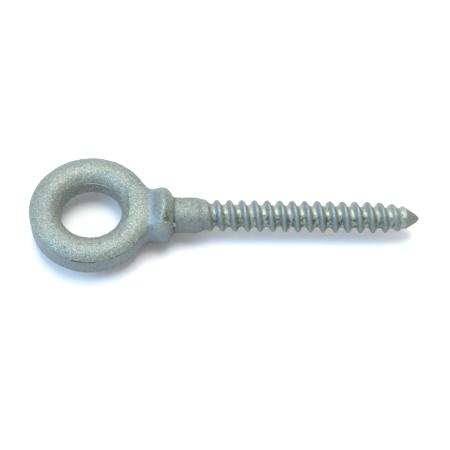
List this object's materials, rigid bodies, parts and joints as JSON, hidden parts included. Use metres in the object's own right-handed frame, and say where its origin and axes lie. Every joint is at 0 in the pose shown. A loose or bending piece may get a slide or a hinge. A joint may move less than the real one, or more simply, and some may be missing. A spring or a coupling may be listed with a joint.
{
  "type": "eye bolt",
  "caption": "Forged and galvanised shoulder eye bolt with a lag thread: a round eye, a shoulder that seats on timber, a plain shank and a right-hand wood-screw thread with a cone point.",
  "frame": {"origin": "centre of the shoulder's seating face, on the axis of the shank", "axes": "+X along the shank towards the point, +Z along the axis of the hole through the eye"},
  "size_m": [0.0782, 0.024, 0.011],
  "materials": {
    "zinc_forged": "hot-dip galvanised over a rough forging, matt grey-green with fine bright grain",
    "zinc_thread": "hot-dip galvanised over a rolled thread, smoother and brighter in the roots"
  },
  "bodies": {
    "root": {"eye": "zinc_forged", "shoulder": "zinc_forged", "shank": "zinc_forged", "lag_thread": "zinc_thread", "point": "zinc_thread"}
  },
  "joints": []
}
